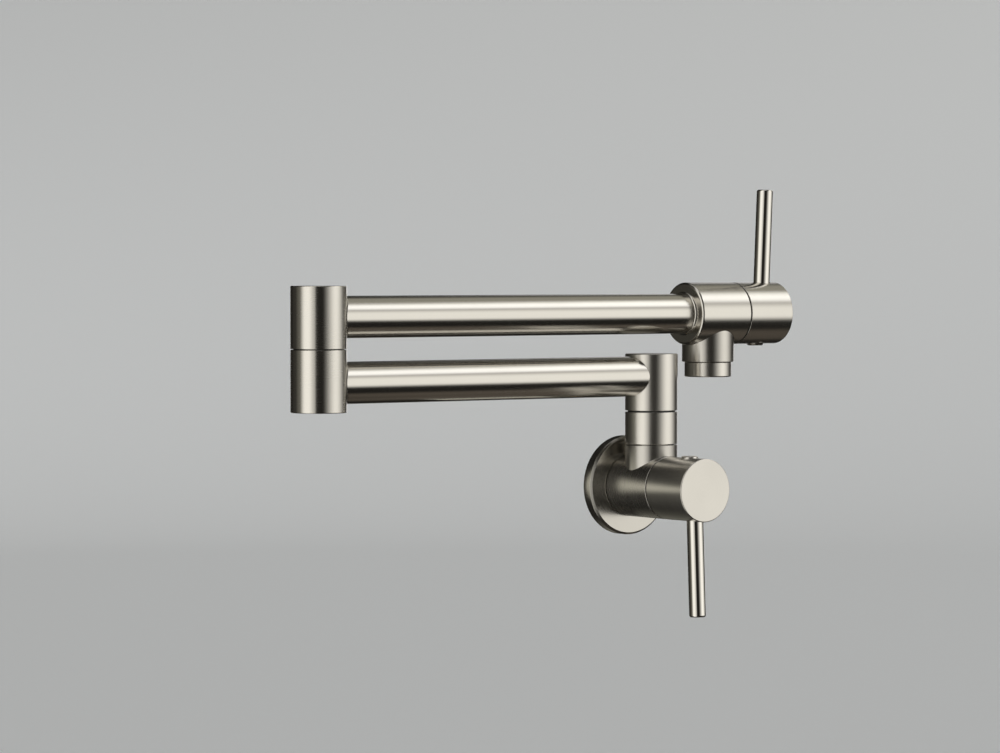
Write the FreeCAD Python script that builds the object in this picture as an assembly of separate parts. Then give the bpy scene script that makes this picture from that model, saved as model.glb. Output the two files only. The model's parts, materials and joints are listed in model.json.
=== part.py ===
import FreeCAD, Part
import math
import os

# A wall-mounted folding kitchen tap: two arms, two quarter-turn valves, one outlet.
# Millimetres. The wall is the plane y = 0 and the tap stands out of it towards -Y.
# +X is to the right of someone who faces the wall, +Z is up.
# The origin is the centre of the inlet, where the valve's axis meets the wall.

V = FreeCAD.Vector
X = V(1, 0, 0)
Y = V(0, 1, 0)
Z = V(0, 0, 1)
RIGHT_ANGLE = 90.0
FULL_TURN = 360.0
HEXAGON = 6
SQUARE = 4

# How near to a height an edge lies when it counts as being there
EDGE_SEARCH = 0.01

# Wall plate
FLANGE_R = 30.0
FLANGE_THICK = 7.6
FLANGE_CHAMFER = 1.2
FLANGE_BACK_EDGE = 0.5
GASKET_R = 25.5
GASKET_THICK = 2.5
GASKET_PLAY = 0.3
FLANGE_RING_CORD = 1.8

# Inlet nipple, G 1/2 outside thread
INLET_THREAD_R = 10.4775
INLET_BORE_R = 7.5
INLET_REACH = 14.0
INLET_THREAD_LEAD = 1.0
INLET_WAIST_R = 9.4
INLET_WAIST_START = 1.0
INLET_WAIST_END = 3.0
INLET_END = 11.0
INLET_WASHER_THICK = 2.0
INLET_WASHER_BORE_R = 8.0

# Valve barrels, the same at the wall and at the outlet
BARREL_R = 18.8
BARREL_EDGE = 0.3
TAIL_R = 13.5
TAIL_PLAY = 0.3
TAIL_START = 1.5
WALL_BARREL_END = 45.8
OUTLET_BARREL_LENGTH = 37.9
OUTLET_BARREL_BEHIND = 19.1
OUTLET_BARREL_ROUND = 1.6
OUTLET_BOSS_R = 13.1
OUTLET_BOSS_LENGTH = 1.3
OUTLET_BOSS_EDGE = 0.5
OUTLET_SOCKET_DEPTH = 6.7

# Cartridge, measured outwards from the seat that it is screwed against
CART_DEPTH = 26.8
CART_THREAD_R = 11.0
CART_SLIM_R = 9.0
CART_SLIM_START = 1.0
CART_SLIM_END = 15.0
CART_FEED_R = 6.0
CART_NUT_FLATS = 17.0
CART_NUT_LENGTH = 5.0
CART_RING_AT = 18.5
CART_RING_CORD = 1.6
DISC_R = 7.1
DISC_PLAY = 0.2
DISC_FILM = 0.02
DISC_THICK = 2.5
DISC_PORT_INNER_R = 1.8
DISC_PORT_OUTER_R = 5.8
DISC_PORT_ANGLE = 80.0
BASE_SEAL_BORE_R = 4.9
BASE_SEAL_THICK = 2.5
DRIVER_HEIGHT = 3.5
DRIVER_WIDTH = 6.0
DRIVER_PLAY = 0.2
WINDOW_WIDTH = 8.0
WINDOW_MARGIN = 0.4
STEM_R = 4.0
STEM_PLAY = 0.05
STEM_SQUARE = 5.6
STEM_RING_AT = 21.0
STEM_RING_CORD = 1.5
STEM_CLIP_R = 6.0
STEM_CLIP_NECK_R = 3.2
STEM_CLIP_THICK = 0.9
STEM_CLIP_OPENING = 3.2
STEM_CLIP_PLAY = 0.3
STEM_TIP_MARGIN = 2.8

# Handle hub, lever, clamping screw and the plug that hides it
HUB_SEAM = 0.5
HUB_LENGTH = 32.8
HUB_EDGE = 0.8
HUB_RECESS_R = 12.6
HUB_RECESS_MARGIN = 0.3
HUB_SQUARE_PLAY = 0.05
LEVER_R = 5.0
LEVER_REACH = 75.5
LEVER_ROUND = 1.2
LEVER_SEAT_DEPTH = 2.2
LEVER_THREAD_R = 3.0
LEVER_THREAD_LENGTH = 8.0
LEVER_SETBACK = 10.4
LEVER_LEAN = 2.6
SCREW_SETBACK = 14.8
SCREW_R = 2.5
SCREW_LENGTH = 8.0
SCREW_HEX_FLATS = 2.5
SCREW_HEX_DEPTH = 2.5
SCREW_LEAD = 0.4
PLUG_R = 5.6
PLUG_DEPTH = 4.0
PLUG_PROUD = 1.1

# Post: neck of the wall valve, fixed collar, turning head
POST_OUT = 28.0
POST_R = 15.75
POST_EDGE = 0.3
NECK_TOP = 25.3
NECK_SEAM = 0.1
COLLAR_TOP = 45.3
TURNING_SEAM = 0.5
HEAD_TOP = 80.0
HEAD_CAP = 4.5
COLLAR_SPIGOT_R = 11.0
COLLAR_SPIGOT_LENGTH = 7.8
NECK_SOCKET_BOTTOM = 13.2
NECK_FEED_R = 6.5
COLLAR_RING_AT = 4.0
COLLAR_RING_CORD = 1.6

# Spindles, the same in the post and in the elbow
SPINDLE_R = 9.0
SPINDLE_PLAY = 0.05
SPINDLE_BORE_R = 6.0
SPINDLE_RING_CORD = 1.8
GROOVE_PLAY = 0.2
POST_SPINDLE_BOTTOM = 14.2
POST_SPINDLE_GRIP = 12.0
POST_RING_HEIGHTS = (30.0, 38.0)
CIRCLIP_R = 10.2
CIRCLIP_NECK_R = 7.6
CIRCLIP_THICK = 1.0
CIRCLIP_PLAY = 0.3
CIRCLIP_OPENING = 9.0
WASHER_RECESS = 0.8
WASHER_PLAY = 0.3
WASHER_FILM = 0.02
WASHER_LIP = 1.3

# Arms. Folded, the outlet's neck hangs beside the post with a gap between them
TUBE_R = 12.0
TUBE_WALL = 1.5
TUBE_COPE = 1.25
LOWER_ARM_LENGTH = 240.0
FOLDED_GAP = 12.5
LOWER_AXIS_Z = 66.5
ARM_FEED_R = 7.5

# Elbow: two stacked housings on one spindle
ELBOW_R = 16.0
ELBOW_EDGE = 0.4
ELBOW_SEAM = 0.5
ELBOW_HOUSING_HEIGHT = 35.5
ELBOW_BELOW_LOWER_AXIS = 16.5
UPPER_AXIS_BELOW_TOP = 17.7
ELBOW_FLOOR = 4.5
ELBOW_SPINDLE_LIFT = 1.0
ELBOW_SPINDLE_GRIP = 9.6
ELBOW_RING_DROPS = (12.6, 9.4)
ELBOW_WINDOW_R = 4.0
LOCK_DROP = 5.2
LOCK_R = 2.0
LOCK_DOG_R = 1.3
LOCK_DOG_LENGTH = 1.6
LOCK_GROOVE_R = 7.2
LOCK_GROOVE_PLAY = 0.2
LOCK_SUNK = 0.6
LOCK_HEX_FLATS = 2.0
LOCK_HEX_DEPTH = 2.0

# Outlet neck and aerator, measured down from the upper arm's axis
NECK_DROP = 29.3
OUTLET_FEED_R = 8.0
AERATOR_THREAD_R = 12.0
AERATOR_SOCKET_DEPTH = 10.0
AERATOR_R = 14.25
AERATOR_SEAM = 0.2
AERATOR_HEIGHT = 8.9
AERATOR_ROUND = 0.8
AERATOR_SPIGOT = 8.0
AERATOR_BORE_R = 10.3
AERATOR_LIP = 1.2
AERATOR_LIP_BORE_R = 9.0
INSERT_HEIGHT = 12.0
INSERT_HOLE_R = 0.8
INSERT_PITCH = 2.2
SCREEN_THICK = 0.6
SCREEN_HOLE_R = 0.5
SCREEN_PITCH = 1.6
AERATOR_WASHER_BORE_R = 8.4
INNER_PLAY = 0.1


def frame(origin, along, towards):
    """A place whose local z runs along one direction and whose local x runs towards another."""
    return FreeCAD.Placement(origin, FreeCAD.Rotation(towards, along.cross(towards), along, "ZXY"))


def at(place, shape):
    """The shape, made in local coordinates, moved to its place."""
    moved = shape.copy()
    moved.Placement = place.multiply(moved.Placement)
    return moved


def turned(profile):
    """A solid of revolution about local z from a closed outline of (radius, height) corners."""
    corners = [V(radius, 0, height) for radius, height in profile]
    outline = Part.makePolygon(corners + corners[:1])
    return Part.Face(outline).revolve(V(), Z, FULL_TURN)


def rod(radius, start, end):
    """A round bar along local z."""
    return Part.makeCylinder(radius, end - start, V(0, 0, start), Z)


def ring(outer, inner, start, end):
    """A flat ring about local z."""
    return turned([(inner, start), (outer, start), (outer, end), (inner, end)])


def edged_profile(radius, start, end, low_edge, high_edge):
    """Outline of a round bar with a small chamfer at each end."""
    return [
        (0, start),
        (radius - low_edge, start),
        (radius, start + low_edge),
        (radius, end - high_edge),
        (radius - high_edge, end),
        (0, end),
    ]


def o_ring(outer, cord, height):
    """A rubber ring whose outside touches the given radius."""
    return Part.makeTorus(outer - cord / 2, cord / 2, V(0, 0, height), Z)


def groove(outer, cord, height):
    """The room that a rubber ring of this cord needs in a shaft of this radius."""
    half = cord / 2 + GROOVE_PLAY
    return ring(outer + cord, outer - cord, height - half, height + half)


def softened(solid, height, radius):
    """The turned solid with its rim at one height rounded."""
    rims = [
        edge for edge in solid.Edges
        if edge.BoundBox.ZLength < EDGE_SEARCH and abs(edge.BoundBox.ZMin - height) < EDGE_SEARCH
    ]
    return solid.makeFillet(radius, rims)


def snap_ring(outer, inner, start, end, opening):
    """A flat retaining ring about local z, open at one side."""
    slot = Part.makeBox(outer, opening, end - start, V(0, -opening / 2, start))
    return ring(outer, inner, start, end).cut(slot)


def cross_rod(radius, length, height, direction):
    """A round bar square to local z, from the axis outwards."""
    return Part.makeCylinder(radius, length, V(0, 0, height), direction)


def prism(sides, flats, start, end):
    """A bar with flat sides, measured across its flats, along local z."""
    corner_r = flats / 2 / math.cos(math.pi / sides)
    turns = [2 * math.pi * (step + 0.5) / sides for step in range(sides + 1)]
    corners = [V(corner_r * math.cos(turn), corner_r * math.sin(turn), start) for turn in turns]
    return Part.Face(Part.makePolygon(corners)).extrude(V(0, 0, end - start))


def sector(inner, outer, angle, start, end):
    """A slice of a flat ring, centred on local x."""
    slab = Part.makeCylinder(outer, end - start, V(0, 0, start), Z, angle)
    slab.rotate(V(), Z, -angle / 2)
    return slab.cut(rod(inner, start, end))


def socket_screw(radius, length, flats, depth):
    """A headless screw from z = 0, with a hexagon socket in its far end."""
    shank = turned(edged_profile(radius, 0, length, SCREW_LEAD, SCREW_LEAD))
    return shank.cut(prism(HEXAGON, flats, length - depth, length))


def holed_disc(radius, start, end, hole_r, pitch):
    """A disc with round holes on a triangular grid."""
    reach = radius - 2 * hole_r
    holes = []
    rows = int(reach / (pitch * math.sin(math.pi / 3))) + 1
    for row in range(-rows, rows + 1):
        height = row * pitch * math.sin(math.pi / 3)
        shift = pitch / 2 if row % 2 else 0
        for column in range(-rows - 1, rows + 2):
            centre = V(column * pitch + shift, height, start)
            if math.hypot(centre.x, centre.y) <= reach:
                holes.append(Part.makeCylinder(hole_r, end - start, centre, Z))
    return rod(radius, start, end).cut(Part.makeCompound(holes))


# Heights along the cartridge, worked out from its sizes
disc_start = BASE_SEAL_THICK
moving_start = disc_start + DISC_THICK + DISC_FILM
driver_start = moving_start + DISC_THICK
driver_end = driver_start + DRIVER_HEIGHT
nut_end = CART_DEPTH + CART_NUT_LENGTH
clip_start = nut_end + STEM_CLIP_PLAY
clip_end = clip_start + STEM_CLIP_THICK
hub_start = CART_DEPTH + HUB_SEAM
hub_end = hub_start + HUB_LENGTH
recess_end = clip_end + HUB_RECESS_MARGIN
screw_at = hub_end - SCREW_SETBACK
lever_at = hub_end - LEVER_SETBACK
stem_tip = screw_at + STEM_TIP_MARGIN


def cartridge_fixed_parts():
    """The pieces of the quarter-turn cartridge that stay in the valve body."""
    housing = turned([
        (DISC_R, CART_SLIM_START),
        (CART_SLIM_R, CART_SLIM_START),
        (CART_SLIM_R, CART_SLIM_END),
        (CART_THREAD_R, CART_SLIM_END),
        (CART_THREAD_R, CART_DEPTH),
        (STEM_R + STEM_PLAY, CART_DEPTH),
        (STEM_R + STEM_PLAY, driver_end + DRIVER_PLAY),
        (DISC_R, driver_end + DRIVER_PLAY),
    ])
    nut = prism(HEXAGON, CART_NUT_FLATS, CART_DEPTH, nut_end)
    nut = nut.cut(rod(STEM_R + STEM_PLAY, CART_DEPTH, nut_end))
    window = Part.makeBox(
        2 * CART_THREAD_R, WINDOW_WIDTH, DRIVER_HEIGHT - WINDOW_MARGIN,
        V(-CART_THREAD_R, -WINDOW_WIDTH / 2, driver_start),
    )
    housing = housing.fuse(nut).removeSplitter().cut(window)
    housing = housing.cut(groove(CART_THREAD_R, CART_RING_CORD, CART_RING_AT))
    fixed_disc = rod(DISC_R, disc_start, disc_start + DISC_THICK).cut(disc_ports(disc_start))
    return {
        "cartridge_housing": housing,
        "fixed_disc": fixed_disc,
        "base_seal": ring(DISC_R, BASE_SEAL_BORE_R, 0, BASE_SEAL_THICK),
        "cartridge_o_ring": o_ring(CART_THREAD_R, CART_RING_CORD, CART_RING_AT),
    }


def disc_ports(start):
    """The two water openings of a ceramic disc."""
    first = sector(DISC_PORT_INNER_R, DISC_PORT_OUTER_R, DISC_PORT_ANGLE, start, start + DISC_THICK)
    second = first.copy()
    second.rotate(V(), Z, 2 * RIGHT_ANGLE)
    return Part.makeCompound([first, second])


def handle_parts():
    """The pieces that turn with a lever. Local z runs out of the barrel, local x along the lever."""
    moving_ports = disc_ports(moving_start)
    moving_ports.rotate(V(), Z, RIGHT_ANGLE)
    moving_disc = rod(DISC_R - DISC_PLAY, moving_start, driver_start).cut(moving_ports)

    driver_slab = Part.makeBox(
        2 * DISC_R, DRIVER_WIDTH, DRIVER_HEIGHT, V(-DISC_R, -DRIVER_WIDTH / 2, driver_start)
    )
    driver = rod(DISC_R - DISC_PLAY, driver_start, driver_end).common(driver_slab)
    shaft = rod(STEM_R, driver_end, clip_end)
    square = prism(SQUARE, STEM_SQUARE, clip_end, stem_tip)
    stem = driver.fuse([shaft, square]).removeSplitter()
    stem = stem.cut(groove(STEM_R, STEM_RING_CORD, STEM_RING_AT))
    stem = stem.cut(ring(STEM_CLIP_R, STEM_CLIP_NECK_R, clip_start, clip_end))
    clip = snap_ring(STEM_CLIP_R, STEM_CLIP_NECK_R, clip_start, clip_end, STEM_CLIP_OPENING)

    lean = FreeCAD.Placement(V(0, 0, lever_at), FreeCAD.Rotation(Y, -LEVER_LEAN))
    along_lever = lean.multiply(frame(V(), X, Z))
    seat_r = BARREL_R - LEVER_SEAT_DEPTH
    thread_start = seat_r - LEVER_THREAD_LENGTH
    grip = rod(LEVER_R, seat_r, LEVER_REACH)
    lever_thread = rod(LEVER_THREAD_R, thread_start, seat_r)
    lever = softened(grip, LEVER_REACH, LEVER_ROUND).fuse(lever_thread)
    lever_room = grip.fuse(lever_thread)

    across_screw = frame(V(0, 0, screw_at), -X, Z)
    screw_start = STEM_SQUARE / 2
    plug_floor = BARREL_R - PLUG_DEPTH
    screw = socket_screw(SCREW_R, SCREW_LENGTH, SCREW_HEX_FLATS, SCREW_HEX_DEPTH)
    screw.translate(V(0, 0, screw_start))
    plug_top = BARREL_R + PLUG_PROUD
    dome_r = (PLUG_R ** 2 + PLUG_PROUD ** 2) / (2 * PLUG_PROUD)
    dome = Part.makeSphere(dome_r, V(0, 0, plug_top - dome_r))
    plug = rod(PLUG_R, plug_floor, plug_top).common(dome)
    screw_hole = rod(SCREW_R, 0, BARREL_R)
    plug_hole = rod(PLUG_R, plug_floor, plug_top)

    hub = turned(edged_profile(BARREL_R, hub_start, hub_end, BARREL_EDGE, HUB_EDGE))
    hub = hub.cut(rod(HUB_RECESS_R, hub_start, recess_end))
    hub_square = STEM_SQUARE + 2 * HUB_SQUARE_PLAY
    hub = hub.cut(prism(SQUARE, hub_square, recess_end, stem_tip + HUB_RECESS_MARGIN))
    hub = hub.cut(at(along_lever, lever_room))
    hub = hub.cut(at(across_screw, screw_hole.fuse(plug_hole)))
    return {
        "handle_hub": hub,
        "lever": at(along_lever, lever),
        "handle_screw": at(across_screw, screw),
        "handle_plug": at(across_screw, plug),
        "cartridge_stem": stem,
        "moving_disc": moving_disc,
        "stem_o_ring": o_ring(STEM_R, STEM_RING_CORD, STEM_RING_AT),
        "stem_clip": clip,
    }


def cartridge_room():
    """The bore that a cartridge is screwed into."""
    return rod(CART_THREAD_R, 0, CART_DEPTH)


def slip_washer(seat_top, recess_r, washer_top):
    """A low-friction washer that stands out of its recess and fills the turning seam."""
    washer_low = seat_top - WASHER_RECESS + WASHER_FILM
    return ring(recess_r - WASHER_PLAY, SPINDLE_R + INNER_PLAY, washer_low, washer_top)


# Places
wall_axis = frame(V(), -Y, -Z)
wall_seat = frame(V(0, CART_DEPTH - WALL_BARREL_END, 0), -Y, -Z)
post = frame(V(0, -POST_OUT, 0), Z, X)
elbow = frame(V(-LOWER_ARM_LENGTH, -POST_OUT, 0), Z, X)
elbow_bottom = LOWER_AXIS_Z - ELBOW_BELOW_LOWER_AXIS
elbow_seam = elbow_bottom + ELBOW_HOUSING_HEIGHT
upper_bottom = elbow_seam + ELBOW_SEAM
elbow_top = upper_bottom + ELBOW_HOUSING_HEIGHT
upper_axis_z = elbow_top - UPPER_AXIS_BELOW_TOP
outlet_x = POST_R + FOLDED_GAP + POST_R
barrel_start_x = outlet_x - OUTLET_BARREL_BEHIND
barrel_end_x = barrel_start_x + OUTLET_BARREL_LENGTH
outlet_axis = frame(V(0, -POST_OUT, upper_axis_z), X, Z)
outlet_seat = frame(V(barrel_end_x - CART_DEPTH, -POST_OUT, upper_axis_z), X, Z)
outlet_down = frame(V(outlet_x, -POST_OUT, upper_axis_z), -Z, X)


def wall_side_parts():
    """Everything that is fixed to the wall, apart from the cartridge and the collar."""
    flange = turned([
        (GASKET_R, 0),
        (FLANGE_R - FLANGE_BACK_EDGE, 0),
        (FLANGE_R, FLANGE_BACK_EDGE),
        (FLANGE_R, FLANGE_THICK - FLANGE_CHAMFER),
        (FLANGE_R - FLANGE_CHAMFER, FLANGE_THICK),
        (TAIL_R + TAIL_PLAY, FLANGE_THICK),
        (TAIL_R + TAIL_PLAY, GASKET_THICK),
        (GASKET_R, GASKET_THICK),
    ])
    flange_ring_at = (GASKET_THICK + FLANGE_THICK) / 2
    flange = flange.cut(groove(TAIL_R, FLANGE_RING_CORD, flange_ring_at))
    gasket = ring(GASKET_R - GASKET_PLAY, TAIL_R + TAIL_PLAY, 0, GASKET_THICK)
    flange_ring = o_ring(TAIL_R + FLANGE_RING_CORD, FLANGE_RING_CORD, flange_ring_at)

    nipple = turned([
        (INLET_BORE_R, -INLET_REACH),
        (INLET_THREAD_R - INLET_THREAD_LEAD, -INLET_REACH),
        (INLET_THREAD_R, INLET_THREAD_LEAD - INLET_REACH),
        (INLET_THREAD_R, INLET_WAIST_START),
        (INLET_WAIST_R, INLET_WAIST_START),
        (INLET_WAIST_R, INLET_WAIST_END),
        (INLET_THREAD_R, INLET_WAIST_END),
        (INLET_THREAD_R, INLET_END),
        (INLET_BORE_R, INLET_END),
    ])
    socket_end = INLET_END + INLET_WASHER_THICK
    washer = ring(INLET_THREAD_R, INLET_WASHER_BORE_R, INLET_END, socket_end)

    seat = WALL_BARREL_END - CART_DEPTH
    barrel = turned([
        (0, TAIL_START),
        (TAIL_R, TAIL_START),
        (TAIL_R, FLANGE_THICK),
        (BARREL_R, FLANGE_THICK),
        (BARREL_R, WALL_BARREL_END - BARREL_EDGE),
        (BARREL_R - BARREL_EDGE, WALL_BARREL_END),
        (0, WALL_BARREL_END),
    ])
    neck = turned(edged_profile(POST_R, 0, NECK_TOP, 0, POST_EDGE))
    body = at(wall_axis, barrel).fuse(at(post, neck)).removeSplitter()
    body = body.cut(at(wall_axis, rod(INLET_THREAD_R, TAIL_START, socket_end)))
    body = body.cut(at(wall_axis, rod(CART_FEED_R, socket_end, seat)))
    body = body.cut(at(wall_seat, cartridge_room()))
    body = body.cut(at(post, rod(COLLAR_SPIGOT_R, NECK_SOCKET_BOTTOM, NECK_TOP)))
    body = body.cut(at(post, rod(NECK_FEED_R, 0, NECK_SOCKET_BOTTOM)))
    return {
        "wall_flange": at(wall_axis, flange),
        "flange_gasket": at(wall_axis, gasket),
        "flange_o_ring": at(wall_axis, flange_ring),
        "inlet_nipple": at(wall_axis, nipple),
        "inlet_washer": at(wall_axis, washer),
        "wall_valve_body": body,
    }


def post_parts():
    """The fixed collar, and the head and spindle that turn in it."""
    collar_bottom = NECK_TOP + NECK_SEAM
    spigot_end = collar_bottom - COLLAR_SPIGOT_LENGTH
    head_bottom = COLLAR_TOP + TURNING_SEAM
    recess_r = POST_R - WASHER_LIP
    collar = turned(edged_profile(POST_R, collar_bottom, COLLAR_TOP, POST_EDGE, POST_EDGE))
    collar = collar.fuse(rod(COLLAR_SPIGOT_R, spigot_end, collar_bottom)).removeSplitter()
    collar = collar.cut(rod(SPINDLE_R + SPINDLE_PLAY, spigot_end, COLLAR_TOP))
    collar = collar.cut(rod(recess_r, COLLAR_TOP - WASHER_RECESS, COLLAR_TOP))
    collar_ring_at = collar_bottom - COLLAR_RING_AT
    collar = collar.cut(groove(COLLAR_SPIGOT_R, COLLAR_RING_CORD, collar_ring_at))

    spindle_top = head_bottom + POST_SPINDLE_GRIP
    clip_top = spigot_end - CIRCLIP_PLAY
    clip_low = clip_top - CIRCLIP_THICK
    spindle = rod(SPINDLE_R, POST_SPINDLE_BOTTOM, spindle_top)
    spindle = spindle.cut(rod(SPINDLE_BORE_R, POST_SPINDLE_BOTTOM, spindle_top))
    clip = snap_ring(CIRCLIP_R, CIRCLIP_NECK_R, clip_low, clip_top, CIRCLIP_OPENING)
    spindle = spindle.cut(ring(CIRCLIP_R, CIRCLIP_NECK_R, clip_low, clip_top))
    for height in POST_RING_HEIGHTS:
        spindle = spindle.cut(groove(SPINDLE_R, SPINDLE_RING_CORD, height))
    rings = [o_ring(SPINDLE_R, SPINDLE_RING_CORD, height) for height in POST_RING_HEIGHTS]

    head = turned(edged_profile(POST_R, head_bottom, HEAD_TOP, POST_EDGE, POST_EDGE))
    head = head.cut(rod(SPINDLE_R, head_bottom, HEAD_TOP - HEAD_CAP))
    head = head.cut(cross_rod(ARM_FEED_R, POST_R, LOWER_AXIS_Z, -X))
    head = head.cut(tube_room(-X, LOWER_AXIS_Z, POST_R))
    return {
        "swivel_collar": at(post, collar),
        "collar_o_ring": at(post, o_ring(COLLAR_SPIGOT_R, COLLAR_RING_CORD, collar_ring_at)),
        "post_head": at(post, head),
        "post_spindle": at(post, spindle),
        "post_o_rings": at(post, Part.makeCompound(rings)),
        "post_slip_washer": at(post, slip_washer(COLLAR_TOP, recess_r, head_bottom)),
        "post_retaining_ring": at(post, clip),
    }


def tube_room(direction, height, housing_r):
    """The shallow saddle that a tube's coped end fills in a round housing."""
    whole = cross_rod(TUBE_R, 2 * housing_r, height, direction)
    return whole.cut(rod(housing_r - TUBE_COPE, height - 2 * TUBE_R, height + 2 * TUBE_R))


def tube(start_x, end_x, height):
    """A straight tube along X at the arms' distance from the wall."""
    start = V(start_x, -POST_OUT, height)
    outside = Part.makeCylinder(TUBE_R, end_x - start_x, start, X)
    return outside.cut(Part.makeCylinder(TUBE_R - TUBE_WALL, end_x - start_x, start, X))


def coped(pipe, place, housing_r, height):
    """The tube with its end hollowed to fit a round housing."""
    return pipe.cut(at(place, rod(housing_r - TUBE_COPE, height - 2 * TUBE_R, height + 2 * TUBE_R)))


def tube_parts():
    """The two arm tubes."""
    lower = tube(-LOWER_ARM_LENGTH, 0, LOWER_AXIS_Z)
    lower = coped(lower, elbow, ELBOW_R, LOWER_AXIS_Z)
    lower = coped(lower, post, POST_R, LOWER_AXIS_Z)
    lower = max(lower.Solids, key=lambda solid: solid.Volume)
    upper = tube(-LOWER_ARM_LENGTH, barrel_start_x + OUTLET_SOCKET_DEPTH, upper_axis_z)
    upper = coped(upper, elbow, ELBOW_R, upper_axis_z)
    upper = max(upper.Solids, key=lambda solid: solid.Volume)
    return {"lower_tube": lower, "upper_tube": upper}


def elbow_parts():
    """Two housings that turn on one spindle, and the screw that locks it in."""
    recess_r = ELBOW_R - WASHER_LIP
    lower = turned(edged_profile(ELBOW_R, elbow_bottom, elbow_seam, ELBOW_EDGE, ELBOW_EDGE))
    lower = lower.cut(rod(SPINDLE_R + SPINDLE_PLAY, elbow_bottom + ELBOW_FLOOR, elbow_seam))
    lower = lower.cut(rod(recess_r, elbow_seam - WASHER_RECESS, elbow_seam))
    lower = lower.cut(cross_rod(ARM_FEED_R, ELBOW_R, LOWER_AXIS_Z, X))
    lower = lower.cut(tube_room(X, LOWER_AXIS_Z, ELBOW_R))
    lock_z = elbow_seam - LOCK_DROP
    lower = lower.cut(cross_rod(LOCK_R, 2 * ELBOW_R, lock_z, Y))

    upper = turned(edged_profile(ELBOW_R, upper_bottom, elbow_top, ELBOW_EDGE, ELBOW_EDGE))
    upper = upper.cut(rod(SPINDLE_R, upper_bottom, elbow_top - ELBOW_FLOOR))
    upper = upper.cut(cross_rod(ARM_FEED_R, ELBOW_R, upper_axis_z, X))
    upper = upper.cut(tube_room(X, upper_axis_z, ELBOW_R))

    spindle_bottom = elbow_bottom + ELBOW_FLOOR + ELBOW_SPINDLE_LIFT
    spindle_top = upper_bottom + ELBOW_SPINDLE_GRIP
    spindle = rod(SPINDLE_R, spindle_bottom, spindle_top)
    spindle = spindle.cut(rod(SPINDLE_BORE_R, spindle_bottom, spindle_top))
    for direction in (X, Y, -X, -Y):
        spindle = spindle.cut(cross_rod(ELBOW_WINDOW_R, SPINDLE_R + INNER_PLAY, LOWER_AXIS_Z, direction))
    ring_heights = [elbow_seam - drop for drop in ELBOW_RING_DROPS]
    for height in ring_heights:
        spindle = spindle.cut(groove(SPINDLE_R, SPINDLE_RING_CORD, height))
    half_groove = LOCK_DOG_R + LOCK_GROOVE_PLAY
    lock_groove = ring(SPINDLE_R + INNER_PLAY, LOCK_GROOVE_R, lock_z - half_groove, lock_z + half_groove)
    spindle = spindle.cut(lock_groove)
    rings = [o_ring(SPINDLE_R, SPINDLE_RING_CORD, height) for height in ring_heights]

    dog_start = LOCK_GROOVE_R + LOCK_GROOVE_PLAY
    screw_start = dog_start + LOCK_DOG_LENGTH
    screw_length = ELBOW_R - LOCK_SUNK - screw_start
    lock = socket_screw(LOCK_R, screw_length, LOCK_HEX_FLATS, LOCK_HEX_DEPTH)
    lock.translate(V(0, 0, screw_start))
    lock = lock.fuse(rod(LOCK_DOG_R, dog_start, screw_start)).removeSplitter()

    return {
        "lower_elbow_housing": at(elbow, lower),
        "elbow_lock_screw": at(elbow, at(frame(V(0, 0, lock_z), Y, Z), lock)),
        "upper_elbow_housing": at(elbow, upper),
        "elbow_spindle": at(elbow, spindle),
        "elbow_o_rings": at(elbow, Part.makeCompound(rings)),
        "elbow_slip_washer": at(elbow, slip_washer(elbow_seam, recess_r, upper_bottom)),
    }


def outlet_parts():
    """The outlet valve's body and the aerator in its neck."""
    boss_start_x = barrel_start_x - OUTLET_BOSS_LENGTH
    barrel = turned(edged_profile(BARREL_R, barrel_start_x, barrel_end_x, 0, BARREL_EDGE))
    barrel = softened(barrel, barrel_start_x, OUTLET_BARREL_ROUND)
    boss = turned(edged_profile(OUTLET_BOSS_R, boss_start_x, barrel_start_x, OUTLET_BOSS_EDGE, 0))
    barrel = barrel.fuse(boss)
    neck = turned(edged_profile(POST_R, 0, NECK_DROP, 0, POST_EDGE))
    body = at(outlet_axis, barrel).fuse(at(outlet_down, neck)).removeSplitter()
    socket_end = barrel_start_x + OUTLET_SOCKET_DEPTH
    body = body.cut(at(outlet_axis, rod(TUBE_R, boss_start_x, socket_end)))
    body = body.cut(at(outlet_axis, rod(CART_FEED_R, socket_end, barrel_end_x - CART_DEPTH)))
    body = body.cut(at(outlet_seat, cartridge_room()))
    socket_top = NECK_DROP - AERATOR_SOCKET_DEPTH
    body = body.cut(at(outlet_down, rod(OUTLET_FEED_R, 0, socket_top)))
    body = body.cut(at(outlet_down, rod(AERATOR_THREAD_R, socket_top, NECK_DROP)))

    shell_top = NECK_DROP + AERATOR_SEAM
    mouth = shell_top + AERATOR_HEIGHT
    spigot_top = shell_top - AERATOR_SPIGOT
    shell = softened(rod(AERATOR_R, shell_top, mouth), mouth, AERATOR_ROUND)
    shell = shell.fuse(rod(AERATOR_THREAD_R, spigot_top, shell_top)).removeSplitter()
    shell = shell.cut(rod(AERATOR_BORE_R, spigot_top, mouth - AERATOR_LIP))
    shell = shell.cut(rod(AERATOR_LIP_BORE_R, mouth - AERATOR_LIP, mouth))
    insert_end = mouth - AERATOR_LIP
    insert_start = insert_end - INSERT_HEIGHT
    insert_r = AERATOR_BORE_R - INNER_PLAY
    insert = holed_disc(insert_r, insert_start, insert_end, INSERT_HOLE_R, INSERT_PITCH)
    screen = holed_disc(insert_r, insert_start - SCREEN_THICK, insert_start, SCREEN_HOLE_R, SCREEN_PITCH)
    washer = ring(AERATOR_THREAD_R, AERATOR_WASHER_BORE_R, socket_top, spigot_top)
    return {
        "outlet_valve_body": body,
        "aerator_housing": at(outlet_down, shell),
        "aerator_insert": at(outlet_down, insert),
        "aerator_screen": at(outlet_down, screen),
        "aerator_washer": at(outlet_down, washer),
    }


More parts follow.
